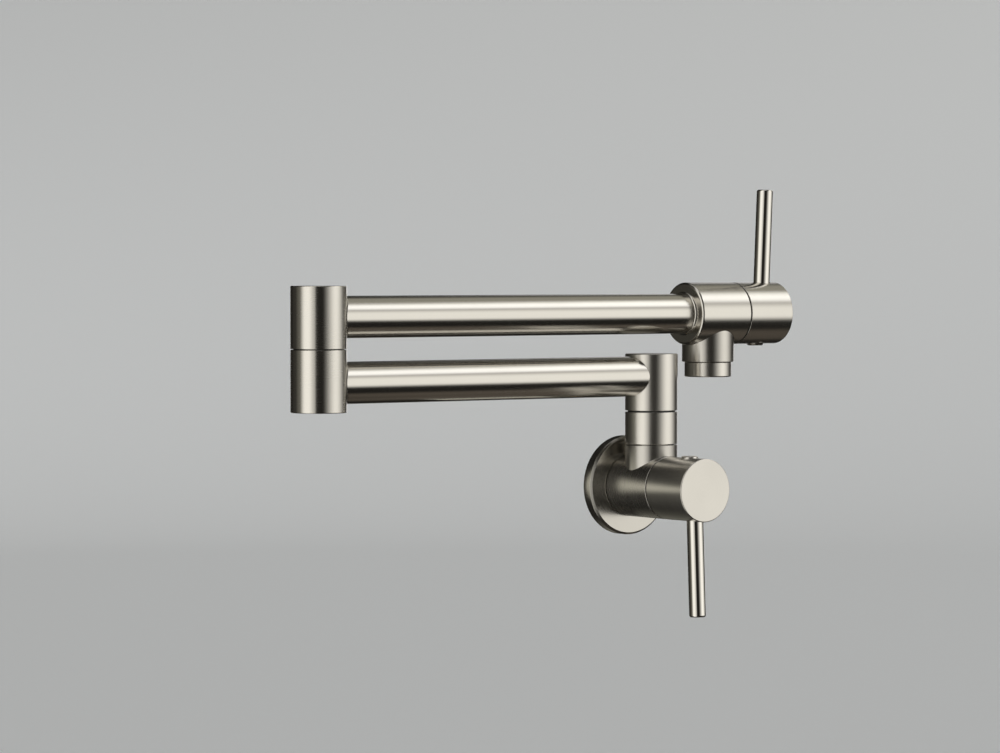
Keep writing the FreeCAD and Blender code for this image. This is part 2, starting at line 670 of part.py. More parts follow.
def named(prefix, place, parts):
    """A set of local pieces, moved to their place, with a place name in front of each."""
    return {prefix + name: at(place, shape) for name, shape in parts.items()}


nodes = {}
nodes.update(wall_side_parts())
nodes.update(post_parts())
nodes.update(tube_parts())
nodes.update(elbow_parts())
nodes.update(outlet_parts())
for prefix, place in (("wall_", wall_seat), ("outlet_", outlet_seat)):
    nodes.update(named(prefix, place, cartridge_fixed_parts()))
    nodes.update(named(prefix, place, handle_parts()))

os.makedirs("parts", exist_ok=True)
for name, shape in nodes.items():
    shape.exportStep("parts/" + name + ".step")
    print(name, len(shape.Solids), round(shape.Volume, 1), shape.isValid())
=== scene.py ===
import json
import math

import bpy
from mathutils import Matrix, Vector


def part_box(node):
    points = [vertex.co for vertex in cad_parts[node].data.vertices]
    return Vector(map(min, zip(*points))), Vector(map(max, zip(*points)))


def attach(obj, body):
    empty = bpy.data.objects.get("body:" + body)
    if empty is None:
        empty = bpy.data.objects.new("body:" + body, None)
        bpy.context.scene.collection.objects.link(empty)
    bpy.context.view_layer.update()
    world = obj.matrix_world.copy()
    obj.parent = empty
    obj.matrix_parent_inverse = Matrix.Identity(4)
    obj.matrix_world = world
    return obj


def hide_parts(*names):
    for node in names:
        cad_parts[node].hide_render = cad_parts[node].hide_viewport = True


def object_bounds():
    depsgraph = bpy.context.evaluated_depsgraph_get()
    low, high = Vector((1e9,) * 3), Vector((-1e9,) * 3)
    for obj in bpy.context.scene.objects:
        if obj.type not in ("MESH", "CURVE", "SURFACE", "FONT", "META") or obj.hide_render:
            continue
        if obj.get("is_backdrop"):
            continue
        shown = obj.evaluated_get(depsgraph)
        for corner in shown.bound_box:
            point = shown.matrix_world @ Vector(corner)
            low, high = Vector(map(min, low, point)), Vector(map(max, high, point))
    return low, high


# The looks of a wall-mounted folding kitchen tap in satin nickel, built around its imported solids.
# Shapes are worked out in millimetres in the row frame and turned into metres when a mesh is made.
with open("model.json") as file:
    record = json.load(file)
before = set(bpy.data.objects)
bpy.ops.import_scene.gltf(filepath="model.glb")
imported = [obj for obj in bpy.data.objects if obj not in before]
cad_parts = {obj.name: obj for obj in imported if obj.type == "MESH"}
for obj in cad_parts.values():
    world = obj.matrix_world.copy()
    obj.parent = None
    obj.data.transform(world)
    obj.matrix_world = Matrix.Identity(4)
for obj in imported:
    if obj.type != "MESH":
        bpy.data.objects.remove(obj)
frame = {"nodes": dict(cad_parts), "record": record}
cad_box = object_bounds()
record = frame["record"]
bodies = record["behaviour"]["bodies"]

METRE = 1000.0
X = Vector((1, 0, 0))
Y = Vector((0, 1, 0))
Z = Vector((0, 0, 1))

# Camera, from the photograph's viewing angle
CAMERA_PLACE = (-1430.258, -1810.808, 134.805)
CAMERA_YAW = 36.457
CAMERA_PITCH = -1.721
CAMERA_ROLL = 0.016
CAMERA_LENS = 136.88
CAMERA_CLIP_END = 50.0
SENSOR_WIDTH = 36.0

# Fineness of the round shapes
SEGMENTS = 240
ARC_STEPS = 6
BARREL_ROWS = 18
TUBE_ROWS = 12
PATCH_ROWS = 7
WALL_ROWS = 5
PATCH_CROWDING = 1.6
MERGE_DIGITS = 4
TINY = 1e-6

# How far round a barrel the finer faces about an opening reach, in degrees to each side
NECK_SPAN = 75
HANDLE_HOLE_SPAN = 45
LOCK_HOLE_SPAN = 30

# Small roundings and gaps that the solids leave out
EDGE = 0.4
SOFT_EDGE = 0.5
HUB_EDGE = 0.6
SEAM_EDGE = 0.3
TINY_EDGE = 0.12
JOINT_FILLET = 0.5
SEAM_RELIEF = 0.2
NECK_SEAM = 0.6
SPIGOT_R = 11.0
SPIGOT_GAP = 0.03
PLATE_GAP = 0.4
TUBE_GAP = 0.25
TUBE_EDGE = 0.5
FIT_GAP = 0.12
HOLE_EDGE = 0.25

# Places on the solids that their boxes don't give
LEVER_SETBACK = 10.4
LEVER_REACH = 75.5
LEVER_LEAN = 2.6
LEVER_ROUND = 1.2
LEVER_SEAT_DEPTH = 2.2
LEVER_SOCKET_DEPTH = 3.0
SCREW_SETBACK = 14.8
PLUG_FACE_R = 4.6
PLUG_ROUND = 1.2
PLUG_SEAT_DEPTH = 1.9
PLUG_POCKET_DEPTH = 2.0
TUBE_WALL = 1.5
TAIL_R = 13.5
TAIL_START = 1.5
TAIL_HOLLOW = 3.0
NIPPLE_BORE_R = 7.5
NIPPLE_DEPTH = 10.0
NIPPLE_FLOOR = 1.0
THREAD_START = -1.0
THREAD_PITCH = 25.4 / 14
THREAD_DEPTH = 1.16
THREAD_ROWS = 150
THREAD_SEGMENTS = 96
FLANGE_HOLE_R = 13.8
FLANGE_CHAMFER = 1.2
GASKET_R = 25.5
GASKET_THICK = 2.5
OUTLET_ROUND = 1.6
BOSS_R = 13.1
BOSS_LENGTH = 1.3
BOSS_EDGE = 1.0
BOSS_SOCKET = 1.0
ELBOW_END = 1.0
LOCK_HOLE_R = 2.05
LOCK_DROP = 5.2
LOCK_HOLE_DEPTH = 3.4
AERATOR_BORE_R = 10.3
AERATOR_LIP_R = 9.0
AERATOR_LIP = 1.2
AERATOR_ROUND = 0.8
AERATOR_SEAM = 0.2


def span(node):
    """Lowest and highest corner of a solid, in millimetres."""
    low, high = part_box(node)
    return low * METRE, high * METRE


def place(origin, along, towards):
    """A frame whose local z runs along one direction and whose local x runs towards another."""
    columns = (towards, along.cross(towards), along)
    turn = Matrix(columns).transposed()
    return Matrix.Translation(origin) @ turn.to_4x4()


def outline(corners, closed=False):
    """Points (radius, height) with their outward normals, for an outline with rounded corners.

    Each corner is (radius, height, rounding). The outline runs with its outside on the right.
    """
    count = len(corners)
    points = []
    for index, (radius, height, rounding) in enumerate(corners):
        here = Vector((radius, height))
        before = Vector(corners[index - 1][:2]) if closed or index else None
        after = Vector(corners[(index + 1) % count][:2]) if closed or index < count - 1 else None
        into = (here - before).normalized() if before else None
        out = (after - here).normalized() if after else None
        if into is None or out is None:
            run = out or into
            points.append((here, Vector((run.y, -run.x))))
            continue
        start_normal = Vector((into.y, -into.x))
        end_normal = Vector((out.y, -out.x))
        if rounding == 0:
            points.append((here, start_normal))
            points.append((here, end_normal))
            continue
        turn = math.atan2(into.x * out.y - into.y * out.x, into.dot(out))
        side = math.copysign(1, turn)
        tangent = here - into * (rounding * math.tan(abs(turn) / 2))
        centre = tangent - start_normal * (side * rounding)
        for step in range(ARC_STEPS + 1):
            angle = turn * step / ARC_STEPS
            normal = Matrix.Rotation(angle, 2) @ start_normal
            points.append((centre + normal * (side * rounding), normal))
    if closed:
        points.append(points[0])
    return points


class Skin:
    """Points with their surface normals, and the faces between them."""

    def __init__(self, frame_matrix):
        self.frame = frame_matrix
        self.points = []
        self.normals = []
        self.faces = []

    def row(self, pairs):
        """Adds (point, normal) pairs and returns their numbers."""
        first = len(self.points)
        turn = self.frame.to_3x3()
        for point, normal in pairs:
            self.points.append(self.frame @ point)
            self.normals.append((turn @ normal).normalized())
        return list(range(first, len(self.points)))

    def bridge(self, low, high, closed=True):
        """Quads between two rows of equal length."""
        count = len(low)
        for i in range(count if closed else count - 1):
            j = (i + 1) % count
            self.faces.append((low[i], low[j], high[j], high[i]))

    def fan(self, row, point, normal):
        """Triangles from a row to one point."""
        (pole,) = self.row([(point, normal)])
        for i in range(len(row)):
            self.faces.append((row[i], row[(i + 1) % len(row)], pole))

    def turn(self, profile, angles=None):
        """A surface of revolution about local z. Returns its first and last rows."""
        angles = angles or [2 * math.pi * step / SEGMENTS for step in range(SEGMENTS)]
        first = last = None
        for point, normal in profile:
            if point.x < TINY:
                if last is not None:
                    self.fan(last[0], Vector((0, 0, point.y)), Vector((0, 0, normal.y)))
                last = (None, point, normal)
                continue
            row = self.row([
                (
                    Vector((point.x * math.cos(a), point.x * math.sin(a), point.y)),
                    Vector((normal.x * math.cos(a), normal.x * math.sin(a), normal.y)),
                )
                for a in angles
            ])
            if last is not None and last[0] is None:
                self.fan(row, Vector((0, 0, last[1].y)), Vector((0, 0, last[2].y)))
            elif last is not None and (last[1] - point).length > TINY:
                self.bridge(last[0], row)
            first = first or row
            last = (row, point, normal)
        return first, last[0]


def mesh_object(name, skin):
    """A watertight Blender mesh from a skin, with its faces turned outwards and its own normals."""
    places = {}
    numbers = []
    for point in skin.points:
        key = tuple(round(value, MERGE_DIGITS) for value in point)
        numbers.append(places.setdefault(key, len(places)))
    faces = []
    corner_normals = []
    for face in skin.faces:
        corners = [c for i, c in enumerate(face) if numbers[c] != numbers[face[i - 1]]]
        if len({numbers[c] for c in corners}) < 3:
            continue
        a, b, c = (skin.points[i] for i in (corners[0], corners[1], corners[-1]))
        outward = sum((skin.normals[i] for i in corners), Vector())
        if (b - a).cross(c - a).dot(outward) < 0:
            corners.reverse()
        faces.append([numbers[c] for c in corners])
        corner_normals.extend(skin.normals[c] for c in corners)
    mesh = bpy.data.meshes.new(name)
    mesh.from_pydata([Vector(key) / METRE for key in places], [], faces)
    mesh.shade_smooth()
    mesh.normals_split_custom_set(corner_normals)
    made = bpy.data.objects.new(name, mesh)
    bpy.context.scene.collection.objects.link(made)
    return made


def piece(name, skin, node, material):
    """Puts a finished piece in the place of its solid."""
    made = mesh_object(name, skin)
    made.data.materials.append(material)
    body = next(b for b, members in bodies.items() if node in members)
    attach(made, body)
    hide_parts(node)
    return made


def turned_piece(node, origin, along, towards, corners, material, closed=False):
    """A piece that is one surface of revolution."""
    skin = Skin(place(origin, along, towards))
    skin.turn(outline(corners, closed))
    return piece(node + "_finish", skin, node, material)


class Opening:
    """A round branch or hole in the side of a barrel.

    turn is its direction round the barrel's axis, at is its height along that axis, and side is
    +1 for a neck that stands out with a small fillet, or -1 for a hole with a rounded rim.
    """

    def __init__(self, turn, at, radius, rounding, side, half_span, ending):
        self.turn = turn
        self.at = at
        self.radius = radius
        self.rounding = rounding
        self.side = side
        self.half_span = half_span
        self.ending = ending


def barrel_surface(skin, radius, low, high, openings):
    """The straight part of a barrel about local z, from low to high, pierced by its openings."""
    step = 2 * math.pi / SEGMENTS
    heights = [low + (high - low) * i / BARREL_ROWS for i in range(BARREL_ROWS + 1)]
    taken = set()
    for opening in openings:
        middle = round(opening.turn / step)
        half = round(opening.half_span / step)
        columns = [middle + i for i in range(-half, half + 1)]
        taken.update(c % SEGMENTS for c in columns[:-1])
        pierced_patch(skin, radius, [c * step for c in columns], heights, opening)
    for column in range(SEGMENTS):
        if column in taken:
            continue
        edges = []
        for angle in (column * step, (column + 1) * step):
            outward = Vector((math.cos(angle), math.sin(angle), 0))
            edges.append(skin.row([(outward * radius + Vector((0, 0, h)), outward) for h in heights]))
        skin.bridge(edges[0], edges[1], closed=False)


def pierced_patch(skin, radius, angles, heights, opening):
    """The part of a barrel round one opening, its fillet or rim, and the opening's own wall."""
    middle = (angles[0] + angles[-1]) / 2
    border = [(a, heights[0]) for a in angles]
    border += [(angles[-1], h) for h in heights[1:]]
    border += [(a, heights[-1]) for a in angles[-2::-1]]
    border += [(angles[0], h) for h in heights[-2:0:-1]]
    ways = [math.atan2((a - middle) * radius, h - opening.at) for a, h in border]

    reach = opening.radius + opening.rounding
    shell = radius + opening.side * opening.rounding
    rims = []
    for way in ways:
        across = reach * math.sin(way)
        outward = math.sqrt(shell ** 2 - across ** 2)
        rims.append(Vector((outward, across, opening.at + reach * math.cos(way))))
    spin = Matrix.Rotation(middle, 3, "Z")

    def on_barrel(angle, height):
        outward = Vector((math.cos(angle), math.sin(angle), 0))
        return outward * radius + Vector((0, 0, height)), outward

    rim_places = [(middle + math.atan2(rim.y, rim.x), rim.z) for rim in rims]
    rows = []
    for i in range(PATCH_ROWS + 1):
        share = 1 - (1 - i / PATCH_ROWS) ** PATCH_CROWDING
        rows.append(skin.row([
            on_barrel(a + (ra - a) * share, h + (rh - h) * share)
            for (a, h), (ra, rh) in zip(border, rim_places)
        ]))
    for i in range(1, ARC_STEPS + 1):
        pairs = []
        for rim, way in zip(rims, ways):
            start = Vector((rim.x, rim.y, 0)).normalized()
            end = Vector((0, math.sin(way), math.cos(way))) * opening.side
            normal = start.slerp(end, i / ARC_STEPS)
            point = rim - normal * (opening.side * opening.rounding)
            pairs.append((spin @ point, spin @ normal))
        rows.append(skin.row(pairs))
    first_point = opening.ending[0][0]
    for i in range(1, WALL_ROWS + 1):
        pairs = []
        for rim, way in zip(rims, ways):
            outward = Vector((0, math.sin(way), math.cos(way)))
            depth = rim.x + (first_point.y - rim.x) * i / WALL_ROWS
            point = outward * opening.radius + Vector((depth, 0, opening.at))
            pairs.append((spin @ point, spin @ (outward * opening.side)))
        rows.append(skin.row(pairs))
    for low_row, high_row in zip(rows, rows[1:]):
        skin.bridge(low_row, high_row)

    last = rows[-1]
    previous = first_point
    for point, normal in opening.ending[1:]:
        if point.x < TINY:
            skin.fan(last, spin @ Vector((point.y, 0, opening.at)), spin @ Vector((normal.y, 0, 0)))
            break
        pairs = []
        for way in ways:
            outward = Vector((0, math.sin(way), math.cos(way)))
            here = outward * point.x + Vector((point.y, 0, opening.at))
            pairs.append((spin @ here, spin @ (outward * normal.x + Vector((normal.y, 0, 0)))))
        row = skin.row(pairs)
        if (point - previous).length > TINY:
            skin.bridge(last, row)
        last = row
        previous = point


def neck_ending(radius, end, rounding, bore, bore_end):
    """The far end of a neck: a rounded rim, a flat face and a short bore."""
    return outline([
        (radius, end - 3 * rounding, 0), (radius, end, rounding), (bore, end, TINY_EDGE),
        (bore, bore_end, 0), (0, bore_end, 0),
    ])


def hole_ending(radius, bottom):
    """The flat floor of a blind hole."""
    return [
        (Vector((radius, bottom)), Vector((-1, 0))),
        (Vector((radius, bottom)), Vector((0, 1))),
        (Vector((0, bottom)), Vector((0, 1))),
    ]


# Materials

def node_tree(material):
    """An empty node tree for a material."""
    material.use_nodes = True
    tree = material.node_tree
    tree.nodes.clear()
    return tree


class Shader:
    """Short calls that add nodes to one tree."""

    def __init__(self, tree):
        self.tree = tree

    def add(self, kind, inputs=None, **settings):
        node = self.tree.nodes.new(kind)
        for name, value in settings.items():
            setattr(node, name, value)
        for key, value in (inputs or {}).items():
            socket = node.inputs[key]
            if isinstance(value, bpy.types.NodeSocket):
                self.tree.links.new(value, socket)
            else:
                socket.default_value = value
        return node

    def math(self, operation, *values):
        node = self.add("ShaderNodeMath", dict(enumerate(values)), operation=operation)
        return node.outputs[0]

    def vector(self, operation, *values):
        node = self.add("ShaderNodeVectorMath", dict(enumerate(values)), operation=operation)
        return node.outputs["Value" if operation in ("LENGTH", "DOT_PRODUCT") else "Vector"]

    def smooth(self, value, low, high, start=0.0, end=1.0):
        node = self.add(
            "ShaderNodeMapRange",
            {"Value": value, "From Min": low, "From Max": high, "To Min": start, "To Max": end},
            interpolation_type="SMOOTHSTEP",
        )
        return node.outputs["Result"]

    def noise(self, where, scale, detail, roughness):
        node = self.add(
            "ShaderNodeTexNoise",
            {"Vector": where, "Scale": scale, "Detail": detail, "Roughness": roughness},
        )
        return node.outputs[0]


NICKEL = (0.66, 0.635, 0.585)
LEVER_NICKEL = (0.70, 0.675, 0.625)
# Darker copies of the same nickel plate for the tubes, outlet and hubs: painted shade, each dimmed to
# stand in for the light that part gets.
TUBE_NICKEL_PAINTED_SHADE = (0.585, 0.563, 0.519)
OUTLET_NICKEL_PAINTED_SHADE = (0.61, 0.587, 0.541)
HUB_NICKEL_PAINTED_SHADE = (0.61, 0.587, 0.541)
# Darker copies of the same nickel plate for the wall barrel and the flange: painted shade, standing in
# for the occlusion and the shadowed surroundings these parts reflect.
WALL_NICKEL_PAINTED_SHADE = (0.53, 0.51, 0.47)
FLANGE_NICKEL_PAINTED_SHADE = (0.49, 0.472, 0.434)

# Brushing: how fast its lines change along and across the grooves (per metre), and what they change
GROOVE_DRIFT = 55.0
GROOVE_PITCH = 1200.0
GROOVE_ROUGHNESS = 0.10
GROOVE_SHADE = 0.10
GROOVE_BUMP = 0.12
GROOVE_DEPTH = 0.000012
CLOUD_SCALE = 38.0
CLOUD_ROUGHNESS = 0.05
FINE_END_ROUGHNESS = 0.09
MOTTLE_BUMP = 0.2
MOTTLE_DEPTH = 0.00003

# How far past its barrel a branch's own brushing starts, as a share of the barrel's radius
BRANCH_START = 1.004


def turned_nickel(
    name, axis, centre, branch=None, colour=NICKEL, roughness=0.27, stretch=0.9, grain=0.6, fine_end=None
):
    """Nickel plate with fine brushing round an axis.

    A branch (axis, centre, radius, added roughness) is brushed round its own axis beyond a radius.
    fine_end is the height along the axis below which the brushing is finer.
    """
    material = bpy.data.materials.new(name)
    shader = Shader(node_tree(material))
    place_now = shader.add("ShaderNodeTexCoord").outputs["Object"]
    arm = shader.vector("SUBTRACT", place_now, [v / METRE for v in centre])
    axis_now = tuple(axis)
    if branch is not None:
        branch_axis, branch_centre, beyond, softer = branch
        across = shader.vector("CROSS_PRODUCT", arm, axis_now)
        outside = shader.math("GREATER_THAN", shader.vector("LENGTH", across), beyond / METRE)
        extra = shader.math("MULTIPLY", outside, softer)
        branch_arm = shader.vector("SUBTRACT", place_now, [v / METRE for v in branch_centre])
        arm = shader.add(
            "ShaderNodeMix", {"Factor": outside, 4: arm, 5: branch_arm}, data_type="VECTOR"
        ).outputs[1]
        axis_now = shader.add(
            "ShaderNodeMix", {"Factor": outside, 4: axis_now, 5: tuple(branch_axis)}, data_type="VECTOR"
        ).outputs[1]
    along = shader.vector("DOT_PRODUCT", arm, axis_now)
    grooves = shader.vector("CROSS_PRODUCT", axis_now, arm)
    out = shader.vector("LENGTH", grooves)
    surface = shader.add("ShaderNodeNewGeometry").outputs["Normal"]
    local = shader.add(
        "ShaderNodeVectorTransform", {"Vector": surface}, vector_type="VECTOR", convert_from="WORLD",
        convert_to="OBJECT",
    ).outputs[0]
    across_grooves = shader.vector("CROSS_PRODUCT", grooves, local)
    tangent = shader.add(
        "ShaderNodeVectorTransform", {"Vector": across_grooves}, vector_type="VECTOR",
        convert_from="OBJECT", convert_to="WORLD",
    ).outputs[0]
    path = shader.math("ADD", along, out)
    slow = shader.vector("SCALE", place_now)
    slow.node.inputs["Scale"].default_value = GROOVE_DRIFT
    fast = shader.add("ShaderNodeCombineXYZ", {0: shader.math("MULTIPLY", path, GROOVE_PITCH)}).outputs[0]
    lines_at = shader.vector("ADD", slow, fast)
    lines = shader.noise(lines_at, 1.0, detail=3.0, roughness=0.65)
    clouds = shader.noise(place_now, CLOUD_SCALE, detail=3.0, roughness=0.5)
    line_change = GROOVE_ROUGHNESS * grain
    rough = shader.math("MULTIPLY_ADD", lines, line_change, roughness - line_change / 2)
    rough = shader.math("SUBTRACT", rough, CLOUD_ROUGHNESS / 2)
    rough = shader.math("MULTIPLY_ADD", clouds, CLOUD_ROUGHNESS, rough)
    if branch is not None:
        rough = shader.math("ADD", rough, extra)
    if fine_end is not None:
        at_end = shader.math("LESS_THAN", along, fine_end / METRE)
        rough = shader.math("MULTIPLY_ADD", at_end, -FINE_END_ROUGHNESS, rough)
    shade_change = GROOVE_SHADE * grain
    shade = shader.math("MULTIPLY_ADD", lines, shade_change, 1 - shade_change / 2)
    tint = shader.vector("SCALE", colour)
    shader.tree.links.new(shade, tint.node.inputs["Scale"])
    bump = shader.add(
        "ShaderNodeBump", {"Strength": GROOVE_BUMP * grain, "Distance": GROOVE_DEPTH, "Height": lines}
    ).outputs[0]
    surface_shader = shader.add("ShaderNodeBsdfPrincipled", {
        "Base Color": tint, "Metallic": 1.0, "Roughness": rough, "Anisotropic": stretch,
        "Tangent": tangent, "Normal": bump,
    })
    shader.add("ShaderNodeOutputMaterial", {"Surface": surface_shader.outputs[0]})
    return material


def plain_finish(name, colour, metallic, roughness, scale, change):
    """A finish for hidden and minor pieces: a base colour with fine mottling in shade and gloss."""
    material = bpy.data.materials.new(name)
    shader = Shader(node_tree(material))
    place_now = shader.add("ShaderNodeTexCoord").outputs["Object"]
    grain = shader.noise(place_now, scale, detail=4.0, roughness=0.6)
    shade = shader.math("MULTIPLY_ADD", grain, change, 1 - change / 2)
    tint = shader.vector("SCALE", colour)
    shader.tree.links.new(shade, tint.node.inputs["Scale"])
    rough = shader.math("MULTIPLY_ADD", grain, change, roughness - change / 2)
    bump = shader.add(
        "ShaderNodeBump", {"Strength": MOTTLE_BUMP, "Distance": MOTTLE_DEPTH, "Height": grain}
    ).outputs[0]
    surface_shader = shader.add("ShaderNodeBsdfPrincipled", {
        "Base Color": tint, "Metallic": metallic, "Roughness": rough, "Normal": bump,
    })
    shader.add("ShaderNodeOutputMaterial", {"Surface": surface_shader.outputs[0]})
    return material


# Name, colour, metallic share, roughness, mottling per metre and its strength
slot_finishes = {
    "raw_brass": plain_finish("raw_brass", (0.71, 0.50, 0.22), 1.0, 0.3, 900.0, 0.16),
    "stainless": plain_finish("stainless", (0.55, 0.55, 0.54), 1.0, 0.28, 900.0, 0.14),
    "ceramic": plain_finish("ceramic", (0.82, 0.80, 0.75), 0.0, 0.2, 1200.0, 0.06),
    "rubber_seal": plain_finish("rubber_seal", (0.02, 0.02, 0.02), 0.0, 0.6, 700.0, 0.2),
    "slip_plastic": plain_finish("slip_plastic", (0.03, 0.03, 0.03), 0.0, 0.45, 700.0, 0.15),
    "aerator_plastic": plain_finish("aerator_plastic", (0.48, 0.49, 0.49), 0.0, 0.4, 700.0, 0.15),
    "fibre": plain_finish("fibre", (0.35, 0.08, 0.05), 0.0, 0.8, 500.0, 0.3),
}
node_slots = {part["node"]: part["material_slot"] for part in record["subparts"]}
for node, solid in frame["nodes"].items():
    slot = node_slots[node]
    if slot in slot_finishes:
        solid.data.materials.clear()
        solid.data.materials.append(slot_finishes[slot])

# Places read from the solids
flange_low, flange_high = span("wall_flange")
flange_front = -flange_low.y
flange_r = flange_high.x
body_low, body_high = span("wall_valve_body")
barrel_r = body_high.x
wall_barrel_end = -body_low.y
neck_top = body_high.z
collar_low, collar_high = span("swivel_collar")
post_r = collar_high.x
post_y = (collar_low.y + collar_high.y) / 2
head_low, head_high = span("post_head")
hub_low, hub_high = span("wall_handle_hub")
wall_lever_low, wall_lever_high = span("wall_lever")
lower_tube_low, lower_tube_high = span("lower_tube")
upper_tube_low, upper_tube_high = span("upper_tube")
tube_r = (lower_tube_high.z - lower_tube_low.z) / 2
lower_axis_z = (lower_tube_high.z + lower_tube_low.z) / 2
upper_axis_z = (upper_tube_high.z + upper_tube_low.z) / 2
lower_elbow_low, lower_elbow_high = span("lower_elbow_housing")
upper_elbow_low, upper_elbow_high = span("upper_elbow_housing")
elbow_r = (lower_elbow_high.x - lower_elbow_low.x) / 2
elbow_x = (lower_elbow_high.x + lower_elbow_low.x) / 2
outlet_low, outlet_high = span("outlet_valve_body")
outlet_hub_low, outlet_hub_high = span("outlet_handle_hub")
aerator_low, aerator_high = span("aerator_housing")
outlet_x = (aerator_low.x + aerator_high.x) / 2
aerator_r = (aerator_high.x - aerator_low.x) / 2
plug_low, plug_high = span("wall_handle_plug")
plug_r = (plug_high.x - plug_low.x) / 2
plug_proud = plug_high.z - barrel_r
lever_r = (wall_lever_high.x - wall_lever_low.x) / 2
nipple_high = span("inlet_nipple")[1]
thread_r = nipple_high.x

post_centre = Vector((0, post_y, 0))
elbow_centre = Vector((elbow_x, post_y, 0))
outlet_centre = Vector((0, post_y, upper_axis_z))
neck_centre = Vector((outlet_x, post_y, 0))
branch_start = barrel_r * BRANCH_START

post_nickel = turned_nickel("nickel_post", Z, post_centre, roughness=0.30, stretch=0.45, grain=0.4)
elbow_nickel = turned_nickel("nickel_elbow", Z, elbow_centre, grain=0.4)
# The wall barrel and flange finishes use the darker nickel copies, which are painted shade.
wall_nickel = turned_nickel(
    "nickel_wall", Y, Vector(), (Z, post_centre, branch_start, 0.03), WALL_NICKEL_PAINTED_SHADE, roughness=0.27,
    stretch=0.4, grain=0.6,
)
# The outlet, tube and hub finishes use the darker nickel copies, which are painted shade.
outlet_nickel = turned_nickel(
    "nickel_outlet", X, outlet_centre, (Z, neck_centre, branch_start, 0.08), OUTLET_NICKEL_PAINTED_SHADE,
    roughness=0.24, stretch=0.7, fine_end=outlet_low.x + BOSS_LENGTH + OUTLET_ROUND,
)
aerator_nickel = turned_nickel("nickel_aerator", Z, neck_centre, roughness=0.30, stretch=0.45, grain=0.4)
flange_nickel = turned_nickel(
    "nickel_flange", Y, Vector(), colour=FLANGE_NICKEL_PAINTED_SHADE, roughness=0.22, stretch=0.5
)
lower_tube_nickel = turned_nickel(
    "nickel_lower_tube", X, Vector((0, post_y, lower_axis_z)), colour=TUBE_NICKEL_PAINTED_SHADE, roughness=0.2,
    stretch=0.6, grain=0.4,
)
upper_tube_nickel = turned_nickel(
    "nickel_upper_tube", X, outlet_centre, colour=TUBE_NICKEL_PAINTED_SHADE, roughness=0.2, stretch=0.6, grain=0.4
)
wall_hub_nickel = turned_nickel(
    "nickel_wall_hub", Y, Vector(), colour=HUB_NICKEL_PAINTED_SHADE, roughness=0.31, stretch=0.4, grain=0.9
)
outlet_hub_nickel = turned_nickel(
    "nickel_outlet_hub", X, outlet_centre, colour=OUTLET_NICKEL_PAINTED_SHADE, roughness=0.24, stretch=0.7
)

# Fixed side: plate, valve body, collar
turned_piece(
    "wall_flange", Vector(), -Y, Z,
    [
        (GASKET_R, 0, TINY_EDGE),
        (flange_r, 0, SOFT_EDGE),
        (flange_r, flange_front - FLANGE_CHAMFER, EDGE),
        (flange_r - FLANGE_CHAMFER, flange_front, EDGE),
        (FLANGE_HOLE_R, flange_front, TINY_EDGE),
        (FLANGE_HOLE_R, GASKET_THICK, TINY_EDGE),
        (GASKET_R, GASKET_THICK, TINY_EDGE),
    ],
    flange_nickel, closed=True,
)


def wall_body():
    """The wall valve's body: a barrel with an upright neck and a tail that enters the plate."""
    skin = Skin(place(Vector(), -Y, Z))
    back = flange_front + PLATE_GAP
    low = back + 2 * EDGE
    end = wall_barrel_end - SEAM_RELIEF
    high = end - 2 * EDGE
    ending = neck_ending(post_r, neck_top, SEAM_EDGE, post_r / 2, neck_top - post_r / 2)
    neck = Opening(0, -post_y, post_r, JOINT_FILLET, 1, math.radians(NECK_SPAN), ending)
    barrel_surface(skin, barrel_r, low, high, [neck])
    skin.turn(outline([
        (0, TAIL_START + TAIL_HOLLOW, 0),
        (thread_r + FIT_GAP, TAIL_START + TAIL_HOLLOW, TINY_EDGE),
        (thread_r + FIT_GAP, TAIL_START, TINY_EDGE),
        (TAIL_R, TAIL_START, TINY_EDGE),
        (TAIL_R, back, TINY_EDGE),
        (barrel_r, back, EDGE),
        (barrel_r, low, 0),
    ]))
    skin.turn(outline([(barrel_r, high, 0), (barrel_r, end, EDGE), (0, end, 0)]))
    return piece("wall_valve_body_finish", skin, "wall_valve_body", wall_nickel)


wall_body()
spigot_end = neck_top + SPIGOT_GAP
collar_start = neck_top + NECK_SEAM
collar_end = collar_high.z - SEAM_RELIEF
head_start = head_low.z + SEAM_RELIEF
turned_piece(
    "swivel_collar", post_centre, Z, X,
    [(0, spigot_end, 0), (SPIGOT_R, spigot_end, 0), (SPIGOT_R, collar_start, 0),
     (post_r, collar_start, SEAM_EDGE), (post_r, collar_end, SEAM_EDGE), (0, collar_end, 0)],
    post_nickel,
)
turned_piece(
    "post_head", post_centre, Z, X,
    [(0, head_start, 0), (post_r, head_start, SEAM_EDGE), (post_r, head_high.z, SOFT_EDGE),
     (0, head_high.z, 0)],
    post_nickel,
)


